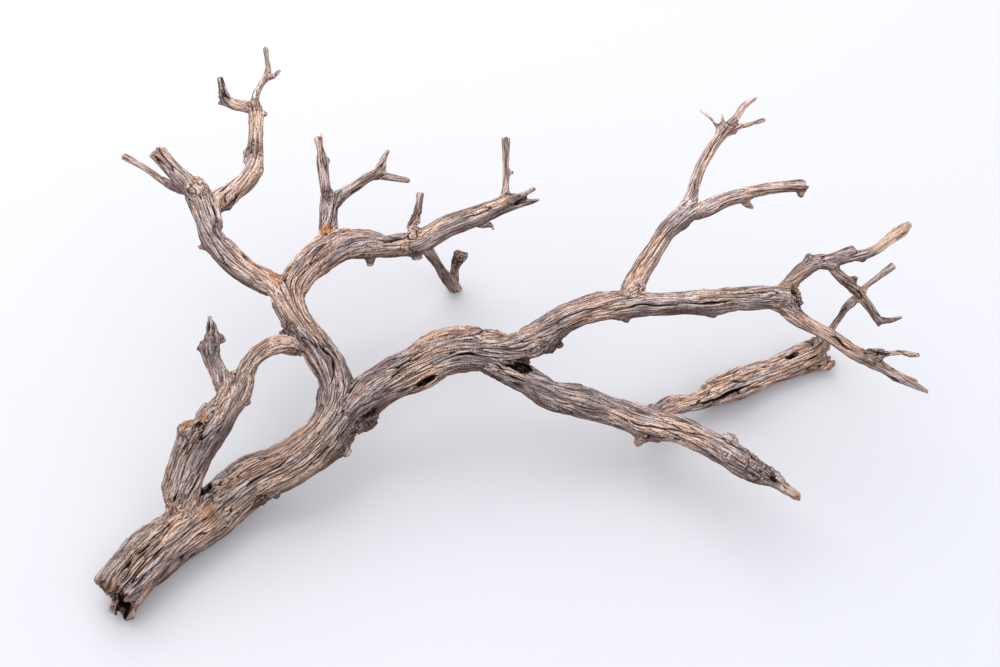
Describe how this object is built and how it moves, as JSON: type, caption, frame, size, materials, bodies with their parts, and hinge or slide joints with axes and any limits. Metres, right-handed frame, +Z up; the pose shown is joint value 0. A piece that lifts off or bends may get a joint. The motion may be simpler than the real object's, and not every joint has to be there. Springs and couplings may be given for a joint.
{
  "type": "dry branch",
  "caption": "Dry, weathered hardwood branch with a thick broken base, a limb that loops back into it and long forking limbs that end in bare twigs; lies at rest.",
  "frame": {"origin": "bottom centre of the branch's bounding box, on the surface it lies on", "axes": "+X along the branch's length from the thick broken base to the twig ends, +Y towards the side the left limbs lean to, +Z up from the resting surface"},
  "size_m": [0.3938, 0.2708, 0.1209],
  "materials": {
    "weathered_wood": "matte, weathered grey-brown with pale tan ridges and dark grain cracks"
  },
  "bodies": {
    "root": {"branch": "weathered_wood"}
  },
  "joints": []
}
